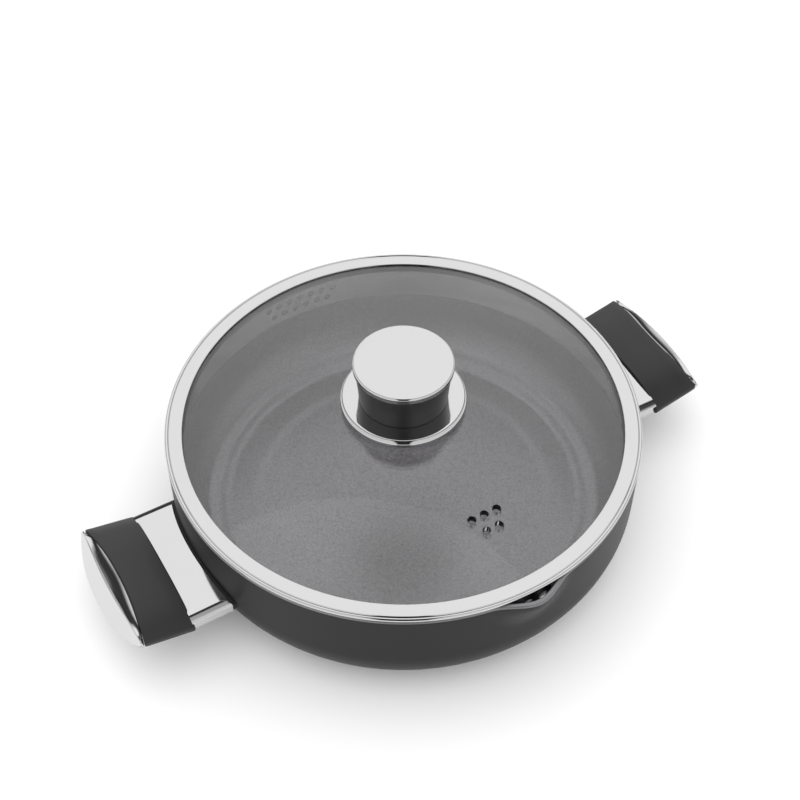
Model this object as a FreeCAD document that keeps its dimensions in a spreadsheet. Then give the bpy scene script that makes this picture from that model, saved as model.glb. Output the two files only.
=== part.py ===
"""Low two-handled casserole with a glass strainer lid, as separate pieces.

Frame: millimetres, origin at the centre of the underside of the base, +Z up,
+X through the right handle, -Y through the pouring lip. The lid is closed.
"""
import FreeCAD
import Part
import os
import Sketcher

V = FreeCAD.Vector
os.makedirs("parts", exist_ok=True)
doc = FreeCAD.newDocument("casserole")

# ---------------------------------------------------------------- driving dimensions
DIMENSIONS = {
    # pan
    "rim_radius": 133.5, "wall": 3.5, "pan_height": 72, "corner": 36, "floor": 5, "rim_round": 0.6,
    "disc_radius": 90, "disc_thick": 1, "floor_step_radius": 86, "floor_step": 0.6,
    "lip_radius": 15, "lip_reach": 7, "lip_depth": 28, "lip_foot": 7.6, "lip_wall": 3.3,
    # lug that carries each handle, from inside the pan's wall outwards
    "lug_start": 125.5, "lug_end": 150, "lug_half_width": 22,
    "lug_start_edge": 2, "lug_start_crown": 2.6, "lug_end_edge": 4.6, "lug_end_crown": 6.4,
    # lid band and glass
    "lid_gap": 0.3, "hem": 2.2, "hem_width": 1.7, "sheet": 0.8, "flange_inner": 123.7,
    "skirt_radius": 128.9, "skirt_depth": 33,
    "glass_edge": 126.6, "glass_flat": 123.2, "glass_thick": 4, "glass_rise": 14.85, "glass_drop": 0.85,
    "glass_bore": 4, "seal_inner": 124.2, "seal_thick": 1,
    "steam_hole": 2.5, "steam_pitch": 7.6, "steam_row": 84.5, "steam_row_gap": 8.7,
    "large_hole": 2.8, "large_pitch": 4.3, "large_row_gap": 9,
    "small_hole": 2.1, "small_pitch": 3.3, "small_row_gap": 7, "hole_band": 22.3,
    # knob
    "knob_screw": 2.6, "stack_gap": 0.02, "dome_gap": 0.4,
    "upper_gasket_radius": 20, "upper_gasket_thick": 0.8,
    "lower_gasket_radius": 16, "lower_gasket_thick": 1,
    "knob_washer_radius": 14, "knob_washer_thick": 1.08,
    "foot_radius": 35.2, "foot_height": 5.6, "foot_round": 2.7, "foot_lap": 0.28,
    "knob_base": 24.7, "knob_middle": 25.5, "knob_shoulder": 26.8,
    "knob_body_height": 22.4, "knob_flank": 250,
    "insert_radius": 4.5, "insert_depth": 12, "insert_bite": 11,
    "cap_radius": 27.6, "cap_height": 3.9, "cap_low_round": 0.6, "cap_top_round": 1.2,
    "knob_head_radius": 4.6, "knob_head_height": 2.6, "knob_head_round": 1.2,
    "knob_key": 1.7, "knob_key_depth": 1.8,
    # handles, stations from the pan's axis and heights from the middle of the neck
    "handle_height": 33, "handle_rise": 0.24, "rise_start": 154,
    "neck_root": 121.5, "neck_half_width": 40.5, "neck_edge": 3, "neck_sheet": 1,
    "neck_crown_wall": 10, "neck_crown_grip": 8.6, "neck_under_wall": 5.3, "neck_under_grip": 9.7,
    "gasket_gap": 1.4, "gasket_inset": 0.4, "gasket_blank": 20,
    "window_half_width": 22.3, "window_edge": 3.5, "window_crown": 4.3,
    "grip_start": 151.5, "grip_stop": 182, "grip_half_width": 42.3, "grip_edge": 2,
    "grip_crown_in": 10.5, "grip_crown_out": 9.2, "grip_waist": 176, "grip_scoop": 222,
    "core_half_width": 37, "core_edge": 1.5, "core_crown": 6, "core_end": 178.5,
    "end_cap_near": 174, "end_cap_far": 192, "end_cap_half_width": 41.6,
    "near_top_edge": 6.8, "near_top_crown": 14.6, "near_low_edge": 2.8, "near_low_crown": -4,
    "far_top_edge": 7.5, "far_top_crown": 8.5, "far_low_edge": 5.9, "far_low_crown": -2.1,
    "end_reach": 186.3, "end_middle": 7, "end_radius": 200, "end_lean": 27,
    # handle screw and washer
    "screw_height": 2.5, "screw_radius": 2, "screw_bite": 11, "thread_spare": 1.5,
    "washer_seat": 164, "washer_thick": 1, "head_start": 165.1, "head_radius": 3.8, "head_height": 3,
    "key": 1.5, "key_depth": 1.8,
    # clearance between fitted pieces, and how far cuts run past them
    "fit_gap": 0.05, "overcut": 1, "waste": 80,
}
dims = doc.addObject("Spreadsheet::Sheet", "dims")
for row, (alias, number) in enumerate(DIMENSIONS.items(), start=1):
    dims.set("A%d" % row, alias)
    dims.set("B%d" % row, str(number))
    dims.setAlias("B%d" % row, alias)
doc.recompute()

GEOMETRIC_ZERO = 1e-9
FAR = "800"
OUTWARD_SIDES = (("right", 1), ("left", -1))


def size(expression):
    """The value of an expression on the sheet."""
    value = dims.evalExpression(expression)
    return float(getattr(value, "Value", value))


def new_body(label, height=None, half_turn=False):
    """An empty body, raised by an expression and turned half round for the left side."""
    body = doc.addObject("PartDesign::Body", label)
    body.Label = label
    if half_turn:
        body.Placement = FreeCAD.Placement(V(0, 0, 0), FreeCAD.Rotation(V(0, 0, 1), 180))
    if height:
        body.setExpression("Placement.Base.z", height)
    return body


def origin_plane(body, role):
    """One of the body's own origin planes."""
    return [feature for feature in body.Origin.OriginFeatures if feature.Role == role][0]


def sketch_on(body, plane, offset=None, lean=0.0, at=(0, 0, 0)):
    """A sketch on an origin plane, raised by an expression along its normal, or leaning at a place."""
    sketch = body.newObject("Sketcher::SketchObject", body.Name + "_sketch")
    sketch.AttachmentSupport = [(origin_plane(body, plane), "")]
    sketch.MapMode = "FlatFace"
    sketch.AttachmentOffset = FreeCAD.Placement(V(*at), FreeCAD.Rotation(V(0, 1, 0), lean))
    if offset:
        sketch.setExpression("AttachmentOffset.Base.z", offset)
    return sketch


def bind(sketch, kind, references, expression):
    """A dimension of the sketch, driven by an expression."""
    number = sketch.addConstraint(Sketcher.Constraint(kind, *references, size(expression)))
    sketch.setExpression("Constraints[%d]" % number, expression)


def pin_point(sketch, geometry, position, point):
    """Hold one point of the sketch at a pair of expressions."""
    for kind, axis, expression in (("DistanceX", -2, point[0]), ("DistanceY", -1, point[1])):
        if abs(size(expression)) < GEOMETRIC_ZERO:
            sketch.addConstraint(Sketcher.Constraint("PointOnObject", geometry, position, axis))
        else:
            bind(sketch, kind, (-1, 1, geometry, position), expression)


def outline(sketch, points, arcs=None):
    """A closed outline: straight edges, and arcs as {edge: (radius, side that it bulges to)}."""
    arcs = arcs or {}
    places = [V(size(x), size(y), 0) for x, y in points]
    ends = []
    for edge, start in enumerate(places):
        end = places[(edge + 1) % len(places)]
        if edge not in arcs:
            number = sketch.addGeometry(Part.LineSegment(start, end))
            ends.append((number, 1, 2))
            continue
        radius, side = arcs[edge]
        chord = end - start
        normal = V(-chord.y, chord.x, 0).normalize() * side
        rise = max(size(radius) ** 2 - (chord.Length / 2) ** 2, 0.0) ** 0.5
        centre = (start + end) / 2 - normal * rise
        middle = centre + normal * size(radius)
        number = sketch.addGeometry(Part.Arc(start, middle, end))
        began = sketch.getPoint(number, 1)
        forward = (began - start).Length < (began - end).Length
        ends.append((number, 1, 2) if forward else (number, 2, 1))
        bind(sketch, "Radius", (number,), radius)
    for edge, (number, first, last) in enumerate(ends):
        following = ends[(edge + 1) % len(ends)]
        sketch.addConstraint(Sketcher.Constraint("Coincident", number, last, following[0], following[1]))
        pin_point(sketch, number, first, points[edge])
    return sketch


def circles(sketch, places):
    """Full circles, each as centre x, centre y and radius."""
    for x, y, radius in places:
        number = sketch.addGeometry(Part.Circle(V(size(x), size(y), 0), V(0, 0, 1), size(radius)))
        bind(sketch, "Radius", (number,), radius)
        pin_point(sketch, number, 3, (x, y))
    return sketch


def turned(body, points, arcs=None, kind="Revolution"):
    """Spin a radius-height outline round the Z axis, as material or as a groove."""
    sketch = outline(sketch_on(body, "XZ_Plane"), points, arcs)
    feature = body.newObject("PartDesign::" + kind, body.Name + "_" + kind)
    feature.Profile = (sketch, [""])
    feature.ReferenceAxis = (sketch, ["V_Axis"])
    feature.Angle = 360
    doc.recompute()


def pocket(body, sketch, length=FAR, both_ways=True, reverse=False):
    """Cut the sketch out of the body and make sure that something was removed."""
    before = body.Shape.Volume
    feature = body.newObject("PartDesign::Pocket", body.Name + "_pocket")
    feature.Profile = (sketch, [""])
    feature.SideType = "Symmetric" if both_ways else "One side"
    feature.Reversed = reverse
    feature.setExpression("Length", length)
    doc.recompute()
    assert body.Shape.Volume < before - GEOMETRIC_ZERO, body.Label + ": a pocket cut nothing"


def lens(body, station, half_width, top, bottom):
    """A lens-shaped section across the handle, with top and bottom as (edge height, crown height)."""
    radii = ["((%s)^2 + ((%s)-(%s))^2) / (2*abs((%s)-(%s)))" % (half_width, crown, edge, crown, edge)
             for edge, crown in (top, bottom)]
    points = [(half_width, bottom[0]), (half_width, top[0]),
              ("-(%s)" % half_width, top[0]), ("-(%s)" % half_width, bottom[0])]
    arcs = {1: (radii[0], -1), 3: (radii[1], -1)}
    return outline(sketch_on(body, "YZ_Plane", station), points, arcs)


def lofted(body, sections, kind="AdditiveLoft"):
    """Join the sections, the first one being the profile."""
    feature = body.newObject("PartDesign::" + kind, body.Name + "_" + kind)
    feature.Profile = (sections[0], [""])
    feature.Sections = [(section, [""]) for section in sections[1:]]
    feature.Ruled = True
    doc.recompute()


def even_lens(body, station, half_width, edge, crown, middle="0"):
    """A lens section that is the same above and below its middle height."""
    above = ("(%s)+(%s)" % (middle, edge), "(%s)+(%s)" % (middle, crown))
    below = ("(%s)-(%s)" % (middle, edge), "(%s)-(%s)" % (middle, crown))
    return lens(body, station, half_width, above, below)


def rise_at(station):
    """Height of the grip's middle at a distance from the pan's axis."""
    return "(dims.handle_rise * ((%s) - dims.rise_start))" % station


# ---------------------------------------------------------------- pan
def make_pan_body():
    """Cast pan: wall, rounded corner, floor, pouring lip and the lugs for the two handles."""
    body = new_body("pan_body")
    foot = "dims.rim_radius - dims.corner"
    rim = "dims.pan_height - dims.rim_round"
    turned(body, [("0", "0"), (foot, "0"), ("dims.rim_radius", "dims.corner"),
                  ("dims.rim_radius", rim), ("dims.rim_radius - dims.rim_round", "dims.pan_height"),
                  ("0", "dims.pan_height")],
           {1: ("dims.corner", -1), 3: ("dims.rim_round", -1)})

    add_lip_cone(body, "PartDesign::AdditiveCone", "lip_outside", "dims.lip_foot", "dims.lip_radius")

    for _, side in OUTWARD_SIDES:
        sections = [even_lens(body, "%d * dims.lug_%s" % (side, end), "dims.lug_half_width",
                              "dims.lug_%s_edge" % end, "dims.lug_%s_crown" % end, "dims.handle_height")
                    for end in ("start", "end")]
        lofted(body, sections)

    inner = "dims.rim_radius - dims.wall"
    bend = "dims.corner - dims.wall"
    turned(body, [("0", "dims.floor - dims.floor_step"),
                  ("dims.floor_step_radius", "dims.floor - dims.floor_step"),
                  ("dims.floor_step_radius + dims.floor_step", "dims.floor"),
                  ("%s - (%s)" % (inner, bend), "dims.floor"),
                  (inner, "dims.floor + (%s)" % bend),
                  (inner, rim), ("%s + dims.rim_round" % inner, "dims.pan_height"),
                  ("0", "dims.pan_height")],
           {3: (bend, -1), 5: ("dims.rim_round", 1)}, kind="Groove")

    add_lip_cone(body, "PartDesign::SubtractiveCone", "lip_inside", "dims.lip_foot - dims.lip_wall",
                 "dims.lip_radius - dims.lip_wall")

    recess = circles(sketch_on(body, "XY_Plane"), [("0", "0", "dims.disc_radius + dims.fit_gap")])
    pocket(body, recess, "dims.disc_thick + dims.fit_gap", both_ways=False, reverse=True)

    for _, side in OUTWARD_SIDES:
        hole = ("0", "dims.handle_height + dims.screw_height", "dims.screw_radius + dims.fit_gap")
        thread = circles(sketch_on(body, "YZ_Plane", "%d * dims.lug_end" % side), [hole])
        pocket(body, thread, "dims.screw_bite + dims.thread_spare", both_ways=False, reverse=side < 0)


def add_lip_cone(body, kind, name, foot, mouth):
    """A cone with its wide end at the rim; its outer line leans out past the wall."""
    cone = body.newObject(kind, name)
    cone.setExpression("Radius1", foot)
    cone.setExpression("Radius2", mouth)
    cone.setExpression("Height", "dims.lip_depth")
    cone.setExpression("AttachmentOffset.Base.y", "-(dims.rim_radius + dims.lip_reach - dims.lip_radius)")
    cone.setExpression("AttachmentOffset.Base.z", "dims.pan_height - dims.lip_depth")
    cone.AttachmentSupport = [(origin_plane(body, "XY_Plane"), "")]
    cone.MapMode = "FlatFace"
    doc.recompute()


def make_induction_base():
    """Steel disc pressed into the underside."""
    body = new_body("induction_base")
    turned(body, [("0", "0"), ("dims.disc_radius", "0"), ("dims.disc_radius", "dims.disc_thick"),
                  ("0", "dims.disc_thick")])


# ---------------------------------------------------------------- handles
def make_handle(name, side):
    """All the pieces of one handle, built outwards along +X and turned to their side."""
    def handle_body(piece):
        return new_body("handle_%s_%s" % (piece, name), "dims.handle_height", side < 0)

    make_handle_gasket(handle_body("gasket"))
    make_neck(handle_body("neck"))
    make_core(handle_body("core"))
    make_grip(handle_body("grip"))
    make_end_cap(handle_body("end_cap"))
    make_screw(handle_body("screw"))
    make_washer(handle_body("washer"))


def neck_section(body, station, end, inset="0"):
    """Section of the neck at its wall or grip end, drawn in all round; the underside has its own crown."""
    edge = "dims.neck_edge - " + inset
    return lens(body, station, "dims.neck_half_width - " + inset,
                (edge, "dims.neck_crown_%s - %s" % (end, inset)),
                ("-(%s)" % edge, "-(dims.neck_under_%s - %s)" % (end, inset)))


def make_handle_gasket(body):
    """Thin plate between the neck and the pan's wall, with a window for the lug."""
    lofted(body, [neck_section(body, station, "wall", "dims.gasket_inset")
                  for station in ("dims.neck_root", "dims.neck_root + dims.gasket_blank")])
    pocket(body, circles(sketch_on(body, "XY_Plane"), [("0", "0", "dims.rim_radius + dims.fit_gap")]))
    pocket(body, circles(sketch_on(body, "XY_Plane"),
                         [("0", "0", "dims.rim_radius + dims.gasket_gap"), ("0", "0", FAR)]))
    pocket(body, even_lens(body, "0", "dims.window_half_width", "dims.window_edge", "dims.window_crown"))


def make_neck(body):
    """Hollow steel sleeve over the lug, from the pan's wall to the grip."""
    ends = (("dims.neck_root", "wall"), ("dims.grip_start - dims.fit_gap", "grip"))
    for sheet, kind in (("0", "AdditiveLoft"), ("dims.neck_sheet", "SubtractiveLoft")):
        lofted(body, [neck_section(body, station, end, sheet) for station, end in ends], kind)
    pocket(body, circles(sketch_on(body, "XY_Plane"),
                         [("0", "0", "dims.rim_radius + dims.gasket_gap + dims.fit_gap")]))


def core_sections(body, stations, gap="0"):
    """Sections of the core, or of the hollow that holds it."""
    return [even_lens(body, station, "dims.core_half_width + " + gap, "dims.core_edge + " + gap,
                      "dims.core_crown + " + gap, rise_at(station)) for station in stations]


def make_core(body):
    """Filler that carries the grip, with a clearance hole and a deep recess for the screw's head."""
    lofted(body, core_sections(body, ("dims.lug_end + dims.fit_gap", "dims.core_end")))
    pocket(body, circles(sketch_on(body, "YZ_Plane"),
                         [("0", "dims.screw_height", "dims.screw_radius + dims.fit_gap")]))
    recess = circles(sketch_on(body, "YZ_Plane", "dims.washer_seat"),
                     [("0", "dims.screw_height", "dims.head_radius + 2*dims.fit_gap")])
    pocket(body, recess, FAR, both_ways=False, reverse=True)


def make_grip(body):
    """Black band right round the handle, its outer end hollowed for the end cap."""
    lofted(body, [even_lens(body, station, "dims.grip_half_width", "dims.grip_edge", crown, rise_at(station))
                  for station, crown in (("dims.grip_start", "dims.grip_crown_in"),
                                         ("dims.grip_stop", "dims.grip_crown_out"))])
    lofted(body, core_sections(body, ("dims.grip_start - dims.overcut", "dims.grip_stop"), "dims.fit_gap"),
           "SubtractiveLoft")
    pocket(body, circles(sketch_on(body, "XY_Plane"),
                         [("dims.grip_waist + dims.grip_scoop", "0", "dims.grip_scoop")]))


def make_end_cap(body):
    """Cap on the outer end: the lens form, fitted to the grip and cut by a leaning round end face."""
    lofted(body, [lens(body, "dims.end_cap_" + end, "dims.end_cap_half_width",
                       ("dims.%s_top_edge" % end, "dims.%s_top_crown" % end),
                       ("dims.%s_low_edge" % end, "dims.%s_low_crown" % end)) for end in ("near", "far")])
    lofted(body, core_sections(body, ("dims.end_cap_near", "dims.core_end + dims.fit_gap"), "dims.fit_gap"),
           "SubtractiveLoft")
    centre = "dims.grip_waist + dims.grip_scoop"
    pocket(body, circles(sketch_on(body, "XY_Plane"),
                         [(centre, "0", "dims.grip_scoop - dims.fit_gap"),
                          (centre, "0", "dims.grip_scoop - dims.fit_gap + dims.waste")]))
    face = sketch_on(body, "XY_Plane", lean=-size("dims.end_lean"),
                     at=(size("dims.end_reach"), 0, size("dims.end_middle")))
    circles(face, [("-dims.end_radius", "0", "dims.end_radius"),
                   ("-dims.end_radius", "0", "dims.end_radius + dims.waste")])
    pocket(body, face)


def make_screw(body):
    """Handle screw along X: shank towards the pan, round head outwards, with a hexagon socket."""
    tip = "dims.lug_end - dims.screw_bite"
    shank = circles(sketch_on(body, "YZ_Plane", tip), [("0", "dims.screw_height", "dims.screw_radius")])
    pad(body, shank, "dims.head_start - (%s) + dims.fit_gap" % tip)
    head = circles(sketch_on(body, "YZ_Plane", "dims.head_start"),
                   [("0", "dims.screw_height", "dims.head_radius")])
    pad(body, head, "dims.head_height")
    socket = hexagon(sketch_on(body, "YZ_Plane", "dims.head_start + dims.head_height"), "dims.screw_height",
                     "dims.key")
    pocket(body, socket, "dims.key_depth", both_ways=False)


def make_washer(body):
    """Plain washer under the handle screw's head."""
    faces = circles(sketch_on(body, "YZ_Plane", "dims.washer_seat"),
                    [("0", "dims.screw_height", "dims.head_radius"),
                     ("0", "dims.screw_height", "dims.screw_radius + dims.fit_gap")])
    pad(body, faces, "dims.washer_thick")


def pad(body, sketch, length):
    """Raise the sketch along its normal."""
    feature = body.newObject("PartDesign::Pad", body.Name + "_pad")
    feature.Profile = (sketch, [""])
    feature.setExpression("Length", length)
    doc.recompute()


def hexagon(sketch, height, radius):
    """Six-sided socket."""
    return outline(sketch, [("%s*cos(%d)" % (radius, turn), "%s + %s*sin(%d)" % (height, radius, turn))
                            for turn in range(0, 360, 60)])


# ---------------------------------------------------------------- lid, heights from the top of its flange
LID_TOP = "dims.pan_height + dims.lid_gap + dims.hem"
DOME_TOP = "dims.glass_rise - dims.glass_drop"
HOLE_ROWS = ((1, 7), (-1, 6))
STEAM_ROWS = ((0, 3), (1, 2))


def make_rim_band():
    """Pressed steel band: flat flange with a rolled hem, and the perforated skirt."""
    body = new_body("lid_rim_band", LID_TOP)
    hem_inner = "dims.rim_radius - dims.hem_width"
    inner = "dims.skirt_radius - dims.sheet"
    turned(body, [("dims.flange_inner", "0"), ("dims.rim_radius - dims.hem/2", "0"),
                  ("dims.rim_radius", "-dims.hem/2"),
                  ("dims.rim_radius - dims.hem/2", "-dims.hem"), (hem_inner, "-dims.hem"),
                  (hem_inner, "-dims.sheet"), ("dims.skirt_radius", "-dims.sheet"),
                  ("dims.skirt_radius", "-dims.skirt_depth"), (inner, "-dims.skirt_depth"),
                  (inner, "-dims.sheet"), ("dims.flange_inner", "-dims.sheet")],
           {1: ("dims.hem/2", 1), 2: ("dims.hem/2", 1)})
    for group, towards_lip in (("large", True), ("small", False)):
        places = []
        for row, count in HOLE_ROWS:
            for number in range(count):
                turn = "dims.%s_pitch*%s" % (group, number - (count - 1) / 2)
                places.append(("dims.skirt_radius*sin(%s)" % turn,
                               "-dims.hole_band + %s*dims.%s_row_gap/2" % (row, group),
                               "dims.%s_hole" % group))
        pocket(body, circles(sketch_on(body, "XZ_Plane"), places), "dims.rim_radius", both_ways=False,
               reverse=towards_lip)


def make_glass():
    """Domed tempered glass with a flat edge, the knob's hole and five steam holes."""
    body = new_body("lid_glass", LID_TOP)
    radius = "((dims.glass_flat^2 + dims.glass_rise^2) / (2*dims.glass_rise))"
    under = "(%s - dims.glass_thick)" % radius
    low = "(-dims.glass_drop - dims.glass_thick)"
    under_flat = "sqrt(%s^2 - (%s - (%s) + %s)^2)" % (under, low, DOME_TOP, radius)
    turned(body, [("0", DOME_TOP + " - dims.glass_thick"), (under_flat, low), ("dims.glass_edge", low),
                  ("dims.glass_edge", "-dims.glass_drop"), ("dims.glass_flat", "-dims.glass_drop"),
                  ("0", DOME_TOP)],
           {0: (under, 1), 4: (radius, -1)})
    places = [("0", "0", "dims.glass_bore")]
    for row, count in STEAM_ROWS:
        for number in range(count):
            places.append(("dims.steam_pitch*%s" % (number - (count - 1) / 2),
                           "-(dims.steam_row + dims.steam_row_gap*%d)" % row, "dims.steam_hole"))
    pocket(body, circles(sketch_on(body, "XY_Plane"), places))


def make_glass_seal():
    """Silicone ring that beds the edge of the glass in the band."""
    body = new_body("lid_glass_seal", LID_TOP)
    outer = "dims.skirt_radius - dims.sheet - dims.fit_gap"
    side = "dims.glass_edge + dims.fit_gap"
    shelf = "-dims.glass_drop - dims.glass_thick - dims.fit_gap"
    turned(body, [("dims.seal_inner", shelf + " - dims.seal_thick"), (outer, shelf + " - dims.seal_thick"),
                  (outer, "-dims.sheet - dims.fit_gap"), (side, "-dims.sheet - dims.fit_gap"),
                  (side, shelf), ("dims.seal_inner", shelf)])


def ring(label, outer, inner, low, high):
    """A plain turned ring of the lid."""
    turned(new_body(label, LID_TOP), [(inner, low), (outer, low), (outer, high), (inner, high)])


def make_knob():
    """Knob stack: gaskets, steel foot, tapered body with its insert, steel cap, washer and screw."""
    bore = "dims.knob_screw + dims.fit_gap"
    gasket_low = DOME_TOP + " + dims.stack_gap"
    gasket_high = gasket_low + " + dims.upper_gasket_thick"
    ring("knob_gasket_upper", "dims.upper_gasket_radius", bore, gasket_low, gasket_high)
    under_glass = DOME_TOP + " - dims.glass_thick - dims.dome_gap"
    gasket_foot = under_glass + " - dims.lower_gasket_thick"
    ring("knob_gasket_lower", "dims.lower_gasket_radius", bore, gasket_foot, under_glass)
    washer_top = gasket_foot + " - dims.stack_gap"
    washer_foot = washer_top + " - dims.knob_washer_thick"
    ring("knob_washer", "dims.knob_washer_radius", bore, washer_foot, washer_top)

    low = DOME_TOP + " - dims.foot_lap"
    high = low + " + dims.foot_height"
    seat = gasket_high + " + dims.stack_gap"
    seat_radius = "dims.upper_gasket_radius + 4*dims.fit_gap"
    flat = "dims.foot_radius - dims.foot_round"
    turned(new_body("knob_foot", LID_TOP),
           [(bore, seat), (seat_radius, seat), (seat_radius, low), (flat, low),
            ("dims.foot_radius", low + " + dims.foot_round"),
            ("dims.foot_radius", high + " - dims.foot_round"),
            (flat, high), (bore, high)],
           {3: ("dims.foot_round", -1), 5: ("dims.foot_round", -1)})

    base = high + " + dims.stack_gap"
    crown = base + " + dims.knob_body_height"
    socket = "dims.insert_radius + dims.fit_gap"
    socket_top = base + " + dims.insert_depth + dims.fit_gap"
    turned(new_body("knob_body", LID_TOP),
           [(socket, base), ("dims.knob_base", base),
            ("dims.knob_middle", base + " + dims.knob_body_height/2"),
            ("dims.knob_shoulder", crown), ("0", crown), ("0", socket_top), (socket, socket_top)],
           {1: ("dims.knob_flank", 1), 2: ("dims.knob_flank", 1)})
    ring("knob_insert", "dims.insert_radius", bore, base, base + " + dims.insert_depth")

    floor = crown + " + dims.stack_gap"
    roof = floor + " + dims.cap_height"
    turned(new_body("knob_cap", LID_TOP),
           [("0", floor), ("dims.cap_radius - dims.cap_low_round", floor),
            ("dims.cap_radius", floor + " + dims.cap_low_round"),
            ("dims.cap_radius", roof + " - dims.cap_top_round"),
            ("dims.cap_radius - dims.cap_top_round", roof), ("0", roof)],
           {1: ("dims.cap_low_round", -1), 3: ("dims.cap_top_round", -1)})

    screw = new_body("knob_screw", LID_TOP)
    head_top = washer_foot + " - dims.stack_gap"
    head_low = head_top + " - dims.knob_head_height"
    tip = base + " + dims.insert_bite"
    turned(screw, [("0", head_low), ("dims.knob_head_radius - dims.knob_head_round", head_low),
                   ("dims.knob_head_radius", head_low + " + dims.knob_head_round"),
                   ("dims.knob_head_radius", head_top), ("dims.knob_screw", head_top),
                   ("dims.knob_screw", tip), ("0", tip)],
           {1: ("dims.knob_head_round", -1)})
    pocket(screw, hexagon(sketch_on(screw, "XY_Plane", head_low), "0", "dims.knob_key"),
           "dims.knob_key_depth", both_ways=False, reverse=True)


# ---------------------------------------------------------------- build, check and write
make_pan_body()
make_induction_base()
for side_name, direction in OUTWARD_SIDES:
    make_handle(side_name, direction)
make_rim_band()
make_glass()
make_glass_seal()
make_knob()
doc.recompute()

for item in doc.Objects:
    assert not {"Invalid", "Error"} & set(item.State), "%s: %s" % (item.Label, item.State)
for item in doc.findObjects("PartDesign::Body"):
    assert not item.Shape.isNull() and item.Shape.isValid(), item.Label
    item.Shape.exportStep("parts/%s.step" % item.Label)
    print("%-22s solids %d  volume %8.0f mm3" % (item.Label, len(item.Shape.Solids), item.Shape.Volume))
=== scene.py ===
"""Low two-handled casserole with a glass strainer lid: its looks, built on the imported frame."""
import math

import bpy
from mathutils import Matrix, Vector


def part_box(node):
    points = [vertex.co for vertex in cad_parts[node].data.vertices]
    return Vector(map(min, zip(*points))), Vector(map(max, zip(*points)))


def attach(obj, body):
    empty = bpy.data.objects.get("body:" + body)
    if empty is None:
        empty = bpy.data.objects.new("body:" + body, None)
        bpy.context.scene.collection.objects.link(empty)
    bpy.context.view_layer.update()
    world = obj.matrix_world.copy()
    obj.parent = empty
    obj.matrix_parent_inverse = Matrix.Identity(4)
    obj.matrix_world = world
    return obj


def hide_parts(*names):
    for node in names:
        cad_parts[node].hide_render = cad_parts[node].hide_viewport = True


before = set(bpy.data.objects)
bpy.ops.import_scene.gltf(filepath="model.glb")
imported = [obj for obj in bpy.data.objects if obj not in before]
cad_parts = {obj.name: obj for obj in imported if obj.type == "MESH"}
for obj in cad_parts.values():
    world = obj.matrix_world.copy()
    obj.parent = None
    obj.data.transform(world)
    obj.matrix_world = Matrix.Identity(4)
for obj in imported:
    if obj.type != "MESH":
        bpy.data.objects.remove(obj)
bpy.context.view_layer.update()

MM = 0.001
FULL_TURN = 2 * math.pi

# ---------------------------------------------------------------- sizes taken from the frame
PAN_LOW, PAN_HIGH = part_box("pan_body")
BAND_LOW, BAND_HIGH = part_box("lid_rim_band")
_, DISC_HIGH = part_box("induction_base")
KNOB_LOW, KNOB_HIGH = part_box("knob_body")
FOOT_LOW, FOOT_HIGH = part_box("knob_foot")
CAP_LOW, CAP_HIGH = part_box("knob_cap")
_, GLASS_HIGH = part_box("lid_glass")

RIM_RADIUS = BAND_HIGH[0]
PAN_HEIGHT = PAN_HIGH[2]
LID_TOP = BAND_HIGH[2]
LIP_REACH = -PAN_LOW[1] - RIM_RADIUS
NECK_HEIGHT = 33 * MM  # middle of the handle's neck above the base

WELD = 1e-6  # vertices nearer than this are one

# pan
WALL = 3.5 * MM
CORNER = 36 * MM
FLOOR = 5 * MM
FLOOR_STEP = 0.6 * MM
STEP_RADIUS, STEP_SPREAD = 86 * MM, 8 * MM
LEDGE_RADIUS, LEDGE_SPREAD, LEDGE_WAVE, LEDGE_RISE = 109.25 * MM, 11.25 * MM, 15 * MM, 0.75 * MM
EDGE_ROUND = 1.1 * MM
LIP_SPREAD = 25 * MM
RECESS_EDGE = 0.3 * MM
DISC_EDGE = 0.3 * MM
PIT_DEPTH, PIT_FLOOR, PIT_MOUTH = 0.25 * MM, 7.5 * MM, 8 * MM
PRESSED_RINGS = (24, 40, 56, 72)
RING_DEPTH, RING_FLOOR, RING_MOUTH = 0.3 * MM, 0.5 * MM, 1 * MM

# lid
SKIRT_RADIUS = 128.9 * MM
SHEET = 0.8 * MM
FLANGE_INNER = 123.7 * MM
HEM = 1.1 * MM
GLASS_FLAT = 123.2 * MM
GLASS_DROP = 0.85 * MM
GLASS_THICK = 4 * MM
GLASS_EDGE = 0.5 * MM
KNOB_HOLE, STEAM_HOLE = 4.0 * MM, 2.5 * MM
STEAM_ROW, STEAM_ROW_GAP, STEAM_PITCH, STEAM_DROP = 84.5 * MM, 8.7 * MM, 7.6 * MM, 8 * MM
STEAM_ROWS = ((0, 3), (1, 2))
DRAIN_ROWS = ((1, 7), (-1, 6))
DRAIN_BAND = 22.3 * MM
BAND_DRILL, GLASS_DRILL = 6 * MM, 40 * MM  # lengths of the tools that cut the holes
DRAIN_GROUPS = ((2.8, 4.3, 9.0, -1), (2.1, 3.3, 7.0, 1))  # hole radius, pitch in degrees, row gap, side
FLANGE_EDGE = 0.4 * MM
GROOVE = ((2.5, 0), (2.3, 0.3), (2.05, 0.45))  # distance in from the edge and depth, in millimetres
HEM_WIDTH = 1.7 * MM
SKIRT_BEND, SKIRT_END = 0.5 * MM, 0.3 * MM

# knob
KNOB_BORE, SEAT_RADIUS, SEAT_DEPTH = 2.65 * MM, 20.2 * MM, 1.1 * MM
FOOT_ROUND = 2.7 * MM
KNOB_BASE, KNOB_MIDDLE, KNOB_SHOULDER, KNOB_EDGE = 24.7 * MM, 25.5 * MM, 26.8 * MM, 0.5 * MM
SOCKET, SOCKET_DEPTH = 4.55 * MM, 12.05 * MM
CAP_LOW_ROUND, CAP_TOP_ROUND = 0.6 * MM, 1.2 * MM

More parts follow.
